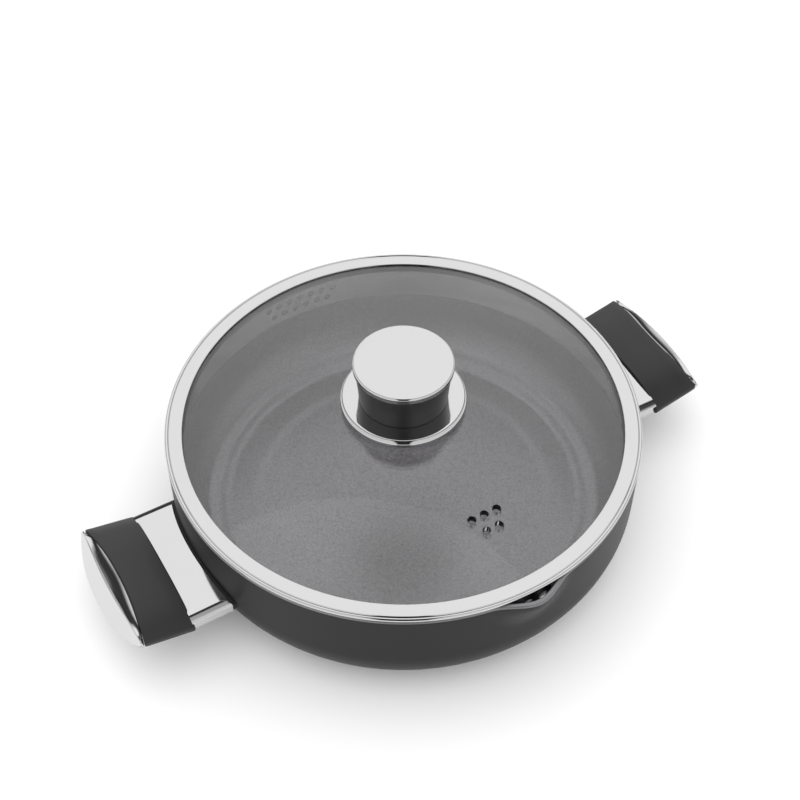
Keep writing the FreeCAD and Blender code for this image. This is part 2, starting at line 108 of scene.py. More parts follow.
# handles; the starts, the waist and the reach are distances from the pan's axis
GRIP_START = 151.5 * MM
GRIP_WAIST = 176 * MM
RISE_START = 154 * MM
GRIP_SCOOP = 222 * MM
HANDLE_RISE = 0.24
END_REACH = 186.3 * MM
END_RADIUS = 200 * MM
END_LEAN = math.tan(math.radians(27))
END_MIDDLE = 7 * MM
FULLNESS = 3.0  # how square-shouldered the crowned faces are
GASKET = 1.4 * MM
FIT = 0.05 * MM
NECK_HALF, NECK_EDGE, NECK_SHEET, NECK_ROUND = 40.5 * MM, 3.0 * MM, 1.0 * MM, 0.6 * MM
NECK_TOP_WALL, NECK_TOP_GRIP = 10.0 * MM, 8.6 * MM
NECK_UNDER_WALL, NECK_UNDER_GRIP = 5.3 * MM, 9.7 * MM
SHOULDER, SHOULDER_SLOPE = 4.0 * MM, math.radians(24)  # facet along the neck's long edges
GRIP_HALF, GRIP_EDGE, GRIP_ROUND = 42.3 * MM, 2.4 * MM, 2.0 * MM
GRIP_CROWN_IN, GRIP_CROWN_OUT = 10.5 * MM, 9.2 * MM
GRIP_OVERLAP = 2 * MM
GRIP_SOFT, NECK_SOFT, END_SOFT, SEAM = 0.9 * MM, 0.35 * MM, 0.8 * MM, 0.1 * MM
SOFT_RUN, NECK_OVERLAP = 0.3 * MM, 1.0 * MM
CAP_HALF, CAP_ROUND, CAP_MIDDLE_IN, CAP_MIDDLE_RISE = 41.6 * MM, 1.4 * MM, 4.8 * MM, 1.9 * MM
CAP_EDGE, CAP_EDGE_FALL = 2.0 * MM, 0.2 * MM
CAP_TOP, CAP_TOP_FALL, CAP_UNDER, CAP_UNDER_RISE = 9.8 * MM, 4.4 * MM, 8.8 * MM, 0.2 * MM
BORE_HALF, BORE_EDGE, BORE_CROWN, BORE_ROUND = 37.1 * MM, 1.6 * MM, 6.1 * MM, 0.6 * MM


# ---------------------------------------------------------------- modelling helpers
def only(piece):
    """Select one object and make it active."""
    bpy.ops.object.select_all(action="DESELECT")
    piece.select_set(True)
    bpy.context.view_layer.objects.active = piece


def round_points(centre, radius, start, stop, count):
    """Points of an arc, in degrees from start to stop, both ends included."""
    angles = [math.radians(start + (stop - start) * k / count) for k in range(count + 1)]
    return [(centre[0] + radius * math.cos(a), centre[1] + radius * math.sin(a)) for a in angles]


def straight_points(start, stop, count):
    """Points along a line, leaving out its start."""
    return [(start[0] + (stop[0] - start[0]) * k / count, start[1] + (stop[1] - start[1]) * k / count)
            for k in range(1, count + 1)]


def turn(name, profile, steps=192):
    """Spin a radius-height profile round the Z axis."""
    first = profile[0]
    bpy.ops.object.select_all(action="DESELECT")
    bpy.ops.mesh.primitive_plane_add(size=MM, location=(first[0], 0, first[1]))
    piece = bpy.context.object
    piece.name = name
    bpy.ops.object.mode_set(mode="EDIT")
    bpy.ops.mesh.select_all(action="SELECT")
    bpy.ops.mesh.merge(type="CENTER")
    for before, after in zip(profile, profile[1:]):
        step = (after[0] - before[0], 0, after[1] - before[1])
        bpy.ops.mesh.extrude_region_move(TRANSFORM_OT_translate={"value": step})
    bpy.ops.mesh.select_all(action="SELECT")
    bpy.ops.mesh.spin(steps=steps, angle=FULL_TURN, center=(0, 0, 0), axis=(0, 0, 1))
    bpy.ops.mesh.select_all(action="SELECT")
    bpy.ops.mesh.remove_doubles(threshold=WELD)
    bpy.ops.mesh.normals_make_consistent(inside=False)
    bpy.ops.object.mode_set(mode="OBJECT")
    bpy.ops.object.transform_apply(location=True, rotation=True, scale=True)
    return piece


def drill(piece, holes, depth):
    """Cut round holes: each is a place, a direction as Euler angles, and a radius."""
    cutters = []
    for place, rotation, radius in holes:
        bpy.ops.mesh.primitive_cylinder_add(vertices=32, radius=radius, depth=depth, location=place,
                                            rotation=rotation)
        cutters.append(bpy.context.object)
    bpy.ops.object.select_all(action="DESELECT")
    for cutter in cutters:
        cutter.select_set(True)
    bpy.context.view_layer.objects.active = cutters[0]
    bpy.ops.object.join()
    tool = bpy.context.object
    only(piece)
    cut = piece.modifiers.new("holes", "BOOLEAN")
    cut.operation = "DIFFERENCE"
    cut.solver = "EXACT"
    cut.object = tool
    bpy.ops.object.modifier_apply(modifier=cut.name)
    bpy.data.objects.remove(tool)


def smooth(piece, angle=35):
    """Smooth shading up to an angle, with the faces' true directions kept on flats."""
    only(piece)
    bpy.ops.object.shade_smooth_by_angle(angle=math.radians(angle))


def finish(piece, body, nodes, material, angle=35):
    """Give a modelled piece its shading, material and body, and hide the CAD nodes that it stands for."""
    smooth(piece, angle)
    piece.data.materials.clear()
    piece.data.materials.append(material)
    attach(piece, body)
    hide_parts(*nodes)
    return piece


# ---------------------------------------------------------------- shader helpers
class Value:
    """A number on a surface: Python arithmetic on it adds Math nodes."""

    def __init__(self, tree, socket):
        self.tree, self.socket = tree, socket

    def maths(self, operation, *operands):
        node = self.tree.nodes.new("ShaderNodeMath")
        node.operation = operation
        for plug, operand in zip(node.inputs, operands):
            if isinstance(operand, Value):
                self.tree.links.new(operand.socket, plug)
            else:
                plug.default_value = operand
        return Value(self.tree, node.outputs[0])

    def __add__(self, other):
        return self.maths("ADD", self, other)

    __radd__ = __add__

    def __sub__(self, other):
        return self.maths("SUBTRACT", self, other)

    def __rsub__(self, other):
        return self.maths("SUBTRACT", other, self)

    def __mul__(self, other):
        return self.maths("MULTIPLY", self, other)

    __rmul__ = __mul__

    def __truediv__(self, other):
        return self.maths("DIVIDE", self, other)

    def __pow__(self, other):
        return self.maths("POWER", self, other)

    def clamped(self):
        held = self.maths("ADD", self, 0.0)
        held.socket.node.use_clamp = True
        return held

    def larger(self, other):
        return self.maths("MAXIMUM", self, other)

    def above(self, edge, softness):
        """0 below the edge and 1 above it, with a soft change."""
        return ((self - edge) / softness + 0.5).clamped()


class Nodes:
    """A node tree, emptied, and the ways to add to it."""

    def __init__(self, tree):
        self.tree = tree
        self.tree.nodes.clear()

    def node(self, kind, settings=None, sockets=None, out=0):
        """Any node: its settings first, then its sockets by name or number, as values or links."""
        made = self.tree.nodes.new(kind)
        for key, setting in (settings or {}).items():
            setattr(made, key, setting)
        for key, given in (sockets or {}).items():
            if isinstance(given, Value):
                self.tree.links.new(given.socket, made.inputs[key])
            else:
                made.inputs[key].default_value = given
        return Value(self.tree, made.outputs[out])


class Surface(Nodes):
    """A material and the nodes that make it."""

    def __init__(self, name):
        self.material = bpy.data.materials.new(name)
        self.material.use_nodes = True
        super().__init__(self.material.node_tree)
        self.output = self.tree.nodes.new("ShaderNodeOutputMaterial")

    def place(self):
        """The place of a point of the object."""
        return self.node("ShaderNodeTexCoord", out="Object")

    def parts(self, vector):
        """The three parts of a vector."""
        first = self.node("ShaderNodeSeparateXYZ", sockets={"Vector": vector})
        outputs = first.socket.node.outputs
        return [Value(self.tree, outputs[k]) for k in range(3)]

    def radius(self):
        """Distance from the pan's axis."""
        x, y, _ = self.parts(self.place())
        return (x * x + y * y) ** 0.5

    def noise(self, scale, detail=2.0, roughness=0.5, vector=None):
        return self.node("ShaderNodeTexNoise", sockets={"Vector": vector or self.place(), "Scale": scale,
                                                        "Detail": detail, "Roughness": roughness})

    def stretched(self, scales):
        """The object's place with each axis scaled, for brushed and turned marks."""
        return self.node("ShaderNodeMapping", sockets={"Vector": self.place(), "Scale": scales})

    def blend(self, factor, first, second):
        """A colour between two colours."""
        return self.node("ShaderNodeMix", {"data_type": "RGBA"},
                         {"Factor": factor, 6: first, 7: second}, out=2)

    def bump(self, height, strength, distance):
        return self.node("ShaderNodeBump", sockets={"Height": height, "Strength": strength,
                                                    "Distance": distance})

    def principled(self, **sockets):
        named = {key.replace("_", " "): given for key, given in sockets.items()}
        return self.node("ShaderNodeBsdfPrincipled", sockets=named)

    def show(self, shader):
        self.tree.links.new(shader.socket, self.output.inputs["Surface"])
        return self.material


def grey(level, tint=(1.0, 1.0, 1.0)):
    """A colour with alpha 1."""
    return (level * tint[0], level * tint[1], level * tint[2], 1.0)


COOL = (0.985, 0.965, 1.0)


# ---------------------------------------------------------------- materials
def coating_material():
    """Non-stick coating: metallic and finely grained inside, darker and smooth outside, and paler on the rim,
    where a highlight is painted into the colour.
    """
    s = Surface("non_stick_coating")
    x, y, height = s.parts(s.place())
    facing_x, facing_y, facing_up = s.parts(s.node("ShaderNodeTexCoord", out="Normal"))
    inward = (x * facing_x + y * facing_y) * -1 / s.radius()
    # the rim's top, where a highlight is painted into the colour
    rim = height.above(PAN_HEIGHT - 0.9 * MM, 0.5 * MM)
    inside = inward.above(0.0, 0.2).larger(facing_up.above(0.3, 0.2))
    grain = s.noise(1250.0, 1.5)
    fleck = s.noise(2300.0, 1.0).above(0.64, 0.1)
    cloud = s.noise(22.0, 3.0)
    inner = s.blend(grain.above(0.5, 0.42), grey(0.135, COOL), grey(0.29, COOL))
    inner = s.blend(fleck * 0.35, inner, grey(0.5, COOL))
    outer = s.blend(grain, grey(0.009, COOL), grey(0.014, COOL))
    tone = s.blend(inside, outer, inner)
    # painted highlight: the rim's rounded top is coloured a paler grey than the coating inside
    tone = s.blend(rim, tone, s.blend(grain, grey(0.18, COOL), grey(0.32, COOL)))
    tone = s.blend(cloud.above(0.5, 0.5) * inside * 0.12, tone, grey(0.16, COOL))
    metallic = inside.larger(rim) * 0.85
    relief = s.bump(grain * inside + cloud * 0.4, 0.16, 0.05 * MM)
    return s.show(s.principled(Base_Color=tone, Roughness=0.37 + grain * 0.10 - inside * 0.05,
                               Metallic=metallic, Normal=relief, IOR=1.27))


def steel_material(name, tone=0.63, roughness=0.035):
    """Mirror-polished stainless steel with the last fine polishing marks."""
    s = Surface(name)
    marks = s.noise(1.0, 4.0, vector=s.stretched((260.0, 260.0, 2600.0)))
    smear = s.noise(34.0, 3.0)
    colour = s.blend(smear, grey(tone, (1, 0.998, 0.996)), grey(tone * 0.965, (0.996, 0.998, 1)))
    relief = s.bump(marks, 0.03, 0.01 * MM)
    return s.show(s.principled(Base_Color=colour, Metallic=1.0,
                               Roughness=roughness + (smear * 0.04 + marks * 0.02),
                               Normal=relief))


def grip_material():
    """Satin black heat-proof plastic with a fine spark-eroded texture."""
    s = Surface("satin_black_grip")
    grain = s.noise(1600.0, 3.0)
    cloud = s.noise(45.0, 3.0)
    colour = s.blend(cloud, grey(0.014, COOL), grey(0.021, COOL))
    return s.show(s.principled(Base_Color=colour, Roughness=0.36 + cloud * 0.12,
                               Normal=s.bump(grain, 0.25, 0.03 * MM), IOR=1.48))


def glass_material():
    """Clear tempered glass that lets the lamps through, with faint handling marks."""
    s = Surface("tempered_glass")
    smear = s.noise(22.0, 4.0)
    body = s.principled(Base_Color=(0.84, 0.835, 0.845, 1), Roughness=0.012 + smear * 0.02,
                        Transmission_Weight=1.0, IOR=1.62)
    clear = s.node("ShaderNodeBsdfTransparent", sockets={"Color": (0.91, 0.908, 0.914, 1)})
    lamp = s.node("ShaderNodeLightPath", out="Is Shadow Ray")
    mixed = s.node("ShaderNodeMixShader", sockets={0: lamp, 1: body, 2: clear})
    return s.show(mixed)


def rubber_material(name, tone):
    """Matt silicone with a little dust."""
    s = Surface(name)
    grain = s.noise(700.0, 3.0)
    dust = s.noise(60.0, 2.0)
    colour = s.blend(dust * 0.6, grey(tone), grey(tone * 1.6))
    return s.show(s.principled(Base_Color=colour, Roughness=0.62 + dust * 0.2,
                               Normal=s.bump(grain, 0.2, 0.04 * MM)))


def moulded_material():
    """Dark moulded core plastic with faint flow marks."""
    s = Surface("moulded_core")
    flow = s.noise(1.0, 3.0, vector=s.stretched((30.0, 160.0, 160.0)))
    colour = s.blend(flow, grey(0.045), grey(0.07))
    return s.show(s.principled(Base_Color=colour, Roughness=0.5 + flow * 0.2,
                               Normal=s.bump(flow, 0.15, 0.1 * MM)))


def turned_material(name, tone, tint):
    """Machined metal with concentric tool marks about the Z axis."""
    s = Surface(name)
    rings = s.node("ShaderNodeTexNoise", {"noise_dimensions": "1D"},
                   {"W": s.radius(), "Scale": 2600.0, "Detail": 3.0})
    stain = s.noise(26.0, 3.0)
    colour = s.blend(stain, grey(tone, tint), grey(tone * 0.86, tint))
    return s.show(s.principled(Base_Color=colour, Metallic=1.0, Roughness=0.24 + rings * 0.16,
                               Normal=s.bump(rings, 0.35, 0.03 * MM)))


COATING = coating_material()
POLISHED = steel_material("polished_steel")
GRIP = grip_material()
GLASS = glass_material()
PLAIN_STEEL = turned_material("turned_steel", 0.62, (1, 0.99, 0.98))
BRASS = turned_material("turned_brass", 0.72, (1.0, 0.76, 0.38))
BLACK_SILICONE = rubber_material("black_silicone", 0.012)
CORE = moulded_material()


# ---------------------------------------------------------------- pan
def ledge(radius):
    """Height of the soft ledge that runs round the rounded corner inside the pan."""
    away = radius - LEDGE_RADIUS
    if abs(away) > LEDGE_SPREAD:
        return 0.0
    fade = (1 + math.cos(math.pi * away / LEDGE_SPREAD)) / 2
    return LEDGE_RISE * fade * math.cos(FULL_TURN * away / LEDGE_WAVE)


def soft_step(count):
    """Points down the soft step in the floor, from its outer side inwards."""
    shares = [k / count for k in range(count + 1)]
    return [(STEP_RADIUS + STEP_SPREAD * (0.5 - share),
             FLOOR - FLOOR_STEP * (1 - math.cos(math.pi * share)) / 2) for share in shares]


def make_pan():
    """Coated pan: rounded corner, stepped floor, rounded rim and a pouring lip pulled out of the wall."""
    outer, inner, top = RIM_RADIUS, RIM_RADIUS - WALL, PAN_HEIGHT
    bend = CORNER - WALL
    foot = outer - CORNER
    recess_radius, recess = DISC_HIGH[0] + FIT, DISC_HIGH[2] + FIT
    profile = [(0, recess), (recess_radius, recess), (recess_radius, RECESS_EDGE),
               (recess_radius + RECESS_EDGE, 0)]
    profile += straight_points(profile[-1], (foot, 0), 3)
    profile += round_points((foot, CORNER), CORNER, -90, 0, 30)[1:]
    profile += straight_points((outer, CORNER), (outer, top - EDGE_ROUND), 22)
    profile += round_points((outer - EDGE_ROUND, top - EDGE_ROUND), EDGE_ROUND, 0, 90, 6)[1:]
    profile += straight_points((outer - EDGE_ROUND, top), (inner + EDGE_ROUND, top), 3)
    profile += round_points((inner + EDGE_ROUND, top - EDGE_ROUND), EDGE_ROUND, 90, 180, 6)[1:]
    profile += straight_points((inner, top - EDGE_ROUND), (inner, CORNER + FLOOR - WALL), 22)
    corner = round_points((inner - bend, FLOOR + bend), bend, 0, -90, 44)[1:]
    profile += [(radius, height + ledge(radius)) for radius, height in corner]
    profile += soft_step(8)
    profile += straight_points(profile[-1], (0, FLOOR - FLOOR_STEP), 8)
    pan = turn("pan_shell", profile, 288)
    pull_lip(pan)
    return finish(pan, "pan", ["pan_body"], COATING)


def pull_lip(pan):
    """Pull the rim outwards at the front, the wall below following softly."""
    only(pan)
    bpy.ops.object.mode_set(mode="EDIT")
    bpy.ops.mesh.select_mode(type="VERT")
    bpy.ops.mesh.select_all(action="DESELECT")
    bpy.ops.object.mode_set(mode="OBJECT")
    for vertex in pan.data.vertices:
        x, y, z = vertex.co
        vertex.select = abs(x) < 1 * MM and y < -RIM_RADIUS + 2 * WALL and z > PAN_HEIGHT - 2 * MM
    bpy.ops.object.mode_set(mode="EDIT")
    bpy.ops.transform.translate(value=(0, -LIP_REACH, 0), use_proportional_edit=True,
                                proportional_edit_falloff="SMOOTH", proportional_size=LIP_SPREAD)
    bpy.ops.object.mode_set(mode="OBJECT")


def make_disc():
    """Steel base disc with pressed rings."""
    radius, thick = DISC_HIGH[0], DISC_HIGH[2]
    profile = [(0, PIT_DEPTH), (PIT_FLOOR, PIT_DEPTH), (PIT_MOUTH, 0)]
    for ring in PRESSED_RINGS:
        at = ring * MM
        profile += [(at - RING_MOUTH, 0), (at - RING_FLOOR, RING_DEPTH),
                    (at + RING_FLOOR, RING_DEPTH), (at + RING_MOUTH, 0)]
    profile += [(radius - DISC_EDGE, 0), (radius, DISC_EDGE), (radius, thick), (0, thick)]
    disc = turn("induction_disc", profile)
    return finish(disc, "pan", ["induction_base"], PLAIN_STEEL, 20)


# ---------------------------------------------------------------- handles
def crowned_face(half, low, crown, steps):
    """Points over a crowned face, from one side to the other."""
    places = [half * math.cos(math.pi * k / steps) for k in range(1, steps)]
    return [(y, low + (crown - low) * (1 - abs(y / half) ** FULLNESS)) for y in places]


def shouldered_face(half, low, crown, steps):
    """Points over a gently arched face with a sloping facet along each side."""
    facets = 3
    arch_half, arch_low = half - SHOULDER, low + SHOULDER * math.tan(SHOULDER_SLOPE)
    near = [(half - SHOULDER * k / facets, low + (arch_low - low) * k / facets) for k in range(1, facets + 1)]
    inner = steps - 2 * facets
    places = [arch_half * math.cos(math.pi * k / inner) for k in range(1, inner)]
    arch = [(y, arch_low + (crown - arch_low) * (1 - (y / arch_half) ** 2)) for y in places]
    return near + arch + [(-y, z) for y, z in reversed(near)]


def lens_outline(half_width, middle, top, bottom, rounding, shouldered=False):
    """Closed lens outline across a handle, as (y, z): crowned faces, upright edges, rounded corners.

    top and bottom are (edge, crown) heights above and below the middle.
    """
    across, around, upright = 28, 5, 4
    core = half_width - rounding
    points = []
    for sign, (edge, crown) in ((1, top), (-1, bottom)):
        height = edge - rounding
        slope = SHOULDER_SLOPE if shouldered else math.atan(FULLNESS * (crown - edge) / core)
        edge_side = [(sign * (core + rounding), middle + sign * height * (k / upright))
                     for k in range(upright)]
        corner = [(sign * (core + rounding * math.cos(a)), middle + sign * (height + rounding * math.sin(a)))
                  for a in ((math.pi / 2 - slope) * k / around for k in range(around + 1))]
        start_y = core + rounding * math.sin(slope)
        start_z = height + rounding * math.cos(slope)
        shape = shouldered_face if shouldered else crowned_face
        face = [(sign * y, middle + sign * z) for y, z in shape(start_y, start_z, crown, across)]
        far_corner = [(-y, z) for y, z in reversed(corner)]
        far_side = [(-y, z) for y, z in reversed(edge_side)]
        points += edge_side + corner + face + far_corner + far_side[:-1]
    return points


def lens_loft(name, stations):
    """Extrude a ring through stations along X; each station is an outline and a rule for X at (y, z)."""
    count = len(stations[0][0])
    bpy.ops.object.select_all(action="DESELECT")
    bpy.ops.mesh.primitive_circle_add(vertices=count, radius=1.0, fill_type="NOTHING", location=(0, 0, 0),
                                      rotation=(math.pi / 2, 0, math.pi / 2))
    piece = bpy.context.object
    piece.name = name
    bpy.ops.object.mode_set(mode="EDIT")
    bpy.ops.mesh.select_all(action="SELECT")
    for _ in stations[1:]:
        bpy.ops.mesh.extrude_region_move(TRANSFORM_OT_translate={"value": (1, 0, 0)})
    bpy.ops.object.mode_set(mode="OBJECT")
    bpy.ops.object.transform_apply(location=True, rotation=True, scale=True)
    for vertex in piece.data.vertices:
        outline, reach = stations[round(vertex.co.x)]
        share = math.atan2(vertex.co.z, vertex.co.y) / FULL_TURN % 1.0
        y, z = outline[round(share * count) % count]
        vertex.co = (reach(y, z), y, z)
    only(piece)
    bpy.ops.object.mode_set(mode="EDIT")
    bpy.ops.mesh.select_all(action="SELECT")
    bpy.ops.mesh.remove_doubles(threshold=WELD)
    bpy.ops.mesh.normals_make_consistent(inside=False)
    bpy.ops.object.mode_set(mode="OBJECT")
    return piece


def grip_middle(x):
    """Height of the rising grip's middle above the neck's middle."""
    return HANDLE_RISE * (x - RISE_START)


def scoop(y, _):
    """The hollow curve where the grip meets the end cap."""
    return GRIP_WAIST + GRIP_SCOOP - math.sqrt(GRIP_SCOOP ** 2 - y * y)


def end_face(y, z):
    """The leaning, rounded end face."""
    return END_REACH - (z - END_MIDDLE) * END_LEAN - (END_RADIUS - math.sqrt(END_RADIUS ** 2 - y * y))


def shifted(rule, by):
    """The same curve moved along X."""
    return lambda y, z: rule(y, z) + by


def flat(x):
    """An upright plane."""
    return lambda y, z: x


def part_way(start, stop, share):
    """A size part of the way between two sizes."""
    return start + (stop - start) * share


def grip_station(share):
    """Height of the grip's middle between its two ends."""
    return grip_middle(part_way(GRIP_START, GRIP_WAIST + GRIP_OVERLAP, share))


def grip_outline(share, inset=0.0):
    """Outer outline of the grip between its two ends."""
    heights = (GRIP_EDGE - inset / 2, part_way(GRIP_CROWN_IN, GRIP_CROWN_OUT, share) - inset)
    return lens_outline(GRIP_HALF - inset, grip_station(share), heights, heights, GRIP_ROUND - inset / 2)


def bore_outline(share):
    """Outline of the core that the grip fits round."""
    heights = (BORE_EDGE, BORE_CROWN)
    return lens_outline(BORE_HALF, grip_station(share), heights, heights, BORE_ROUND)


def between(first, second, share):
    """A curve part of the way between two curves."""
    return lambda y, z: first(y, z) * (1 - share) + second(y, z) * share


EDGE_STEPS = [(math.sin(math.pi / 2 * k / 4), 1 - math.cos(math.pi / 2 * k / 4)) for k in range(5)]


def make_grip(side):
    """Black band right round the handle, its two ends softly rounded."""
    edge = GRIP_SOFT
    inner, outer = flat(GRIP_START + SEAM), shifted(scoop, -SEAM)
    stations = [(bore_outline(0), inner)]
    stations += [(grip_outline(0, edge * (1 - rise)), shifted(inner, edge * run)) for rise, run in EDGE_STEPS]
    shares = [k / 6 for k in range(1, 6)]
    stations += [(grip_outline(share), between(inner, outer, share)) for share in shares]
    stations += [(grip_outline(1, edge * (1 - rise)), shifted(outer, -edge * run))
                 for rise, run in reversed(EDGE_STEPS)]
    stations += [(bore_outline(1), outer), (bore_outline(0.5), between(inner, outer, 0.5)),
                 (bore_outline(0), inner)]
    return lens_loft("grip_" + side, stations)


def neck_outline(share, inset=0.0):
    """Outline of the steel neck; its top falls a little towards the grip."""
    edge = NECK_EDGE - inset
    return lens_outline(NECK_HALF - inset, 0.0, (edge, part_way(NECK_TOP_WALL, NECK_TOP_GRIP, share) - inset),
                        (edge, part_way(NECK_UNDER_WALL, NECK_UNDER_GRIP, share) - inset), NECK_ROUND, True)


def make_neck(side):
    """Hollow polished neck from the pan's wall into the grip."""
    reach = RIM_RADIUS + GASKET + FIT

    def wall(y, _):
        return math.sqrt(reach ** 2 - y * y)

    end = flat(GRIP_START + NECK_OVERLAP)
    stations = [(neck_outline(0, NECK_SOFT), wall), (neck_outline(0), shifted(wall, SOFT_RUN))]
    stations += [(neck_outline(k / 8), between(wall, end, k / 8)) for k in range(1, 9)]
    stations += [(neck_outline(share, NECK_SHEET), between(wall, end, share)) for share in (1.0, 0.5, 0.0)]
    stations += [stations[0]]
    return lens_loft("neck_" + side, stations)


def cap_outline(share, inset=0.0, shrink=1.0):
    """Outline of the end cap; its top falls towards the end face and its underside stays level."""
    middle = CAP_MIDDLE_IN + CAP_MIDDLE_RISE * share
    edge = CAP_EDGE - CAP_EDGE_FALL * share - inset / 2
    top = (edge, CAP_TOP - CAP_TOP_FALL * share - inset)
    under = (edge, CAP_UNDER + CAP_UNDER_RISE * share - inset)
    outline = lens_outline(CAP_HALF - inset, middle, top, under, CAP_ROUND - inset / 2)
    return [(y * shrink, middle + (z - middle) * shrink) for y, z in outline]


def make_end_cap(side):
    """Polished cap with its leaning lens-shaped end face."""
    start = shifted(scoop, SEAM)
    edge = END_SOFT
    stations = [(cap_outline(0, 0, shrink), start) for shrink in (0.0, 0.5, 0.97)]
    stations += [(cap_outline(0), shifted(start, SOFT_RUN))]
    stations += [(cap_outline(share), between(start, end_face, share)) for share in (0.25, 0.5, 0.75, 0.9)]
    stations += [(cap_outline(1, edge * (1 - rise)), shifted(end_face, -edge * run))
                 for rise, run in reversed(EDGE_STEPS)]
    stations += [(cap_outline(1, edge, shrink), end_face) for shrink in (0.97, 0.8, 0.5, 0.2, 0.0)]
    return lens_loft("end_cap_" + side, stations)


def make_handles():
    """Both handles, the left one being the right one turned half round."""
    for side, angle in (("right", 0.0), ("left", math.pi)):
        for maker, slot, part, material, angle_limit in (
                (make_grip, "black_grip", "handle_grip_", GRIP, 40),
                (make_neck, "polished_steel", "handle_neck_", POLISHED, 32),
                (make_end_cap, "polished_steel", "handle_end_cap_", POLISHED, 32)):
            piece = maker(side)
            only(piece)
            bpy.ops.transform.translate(value=(0, 0, NECK_HEIGHT))
            piece.rotation_euler[2] = angle
            bpy.ops.object.transform_apply(location=True, rotation=True, scale=True)
            finish(piece, "pan", [part + side], material, angle_limit)


# ---------------------------------------------------------------- lid
def make_band():
    """Polished steel band: flat flange, fine groove, rolled hem and the strainer skirt."""
    top, low = LID_TOP, BAND_LOW[2]
    outer, skirt = RIM_RADIUS, SKIRT_RADIUS
    hem_middle = (outer - HEM, top - HEM)
    groove = [(outer - inset * MM, top - depth * MM) for inset, depth in GROOVE]
    profile = [(FLANGE_INNER, top - SHEET), (FLANGE_INNER, top - FLANGE_EDGE)]
    profile += round_points((FLANGE_INNER + FLANGE_EDGE, top - FLANGE_EDGE), FLANGE_EDGE, 180, 90, 4)[1:]
    profile += straight_points(profile[-1], groove[0], 5) + groove[1:]
    profile += round_points(hem_middle, HEM, 150, -90, 22)
    profile += [(outer - HEM_WIDTH, top - 2 * HEM), (outer - HEM_WIDTH, top - SHEET)]
    profile += straight_points(profile[-1], (skirt + SKIRT_BEND, top - SHEET), 2)
    profile += round_points((skirt + SKIRT_BEND, top - SHEET - SKIRT_BEND), SKIRT_BEND, 90, 180, 4)[1:]
    profile += straight_points((skirt, top - SHEET - SKIRT_BEND), (skirt, low + SKIRT_END), 10)
    profile += round_points((skirt - SHEET / 2, low + SHEET / 2), SHEET / 2, 0, -180, 8)[1:]
    profile += straight_points((skirt - SHEET, low + SHEET / 2), (skirt - SHEET, top - SHEET), 10)
    profile += straight_points((skirt - SHEET, top - SHEET), profile[0], 2)
    band = turn("rim_band", profile, 288)
    holes = []
    for radius, pitch, gap, side in DRAIN_GROUPS:
        for row, count in DRAIN_ROWS:
            for number in range(count):
                angle = math.radians(pitch * (number - (count - 1) / 2))
                place = (skirt * math.sin(angle), side * skirt * math.cos(angle),
                         top - DRAIN_BAND + row * gap * MM / 2)
                holes.append((place, (math.pi / 2, 0, -side * angle), radius * MM))
    drill(band, holes, BAND_DRILL)
    return finish(band, "lid", ["lid_rim_band"], POLISHED, 30)


def make_glass():
    """Domed glass with a flat ground edge, the knob's hole and five steam holes."""
    edge, top = GLASS_HIGH[0], GLASS_HIGH[2]
    flat_top = LID_TOP - GLASS_DROP
    rise = top - flat_top
    radius = (GLASS_FLAT ** 2 + rise ** 2) / (2 * rise)
    centre = top - radius
    under = radius - GLASS_THICK
    flat_low = flat_top - GLASS_THICK

    def dome(ball, reach, count):
        return [(reach * k / count, centre + math.sqrt(ball ** 2 - (reach * k / count) ** 2))
                for k in range(count + 1)]

    under_reach = math.sqrt(under ** 2 - (flat_low - centre) ** 2)
    profile = dome(radius, GLASS_FLAT, 40)
    profile += [(edge - GLASS_EDGE, flat_top)]
    profile += round_points((edge - GLASS_EDGE, flat_top - GLASS_EDGE), GLASS_EDGE, 90, 0, 4)[1:]
    profile += round_points((edge - GLASS_EDGE, flat_low + GLASS_EDGE), GLASS_EDGE, 0, -90, 4)
    profile += list(reversed(dome(under, under_reach, 40)))
    glass = turn("lid_pane", profile, 192)
    holes = [((0, 0, top), (0, 0, 0), KNOB_HOLE)]
    for row, count in STEAM_ROWS:
        for number in range(count):
            place = (STEAM_PITCH * (number - (count - 1) / 2),
                     -(STEAM_ROW + STEAM_ROW_GAP * row), top - STEAM_DROP)
            holes.append((place, (0, 0, 0), STEAM_HOLE))
    drill(glass, holes, GLASS_DRILL)
    return finish(glass, "lid", ["lid_glass"], GLASS, 30)


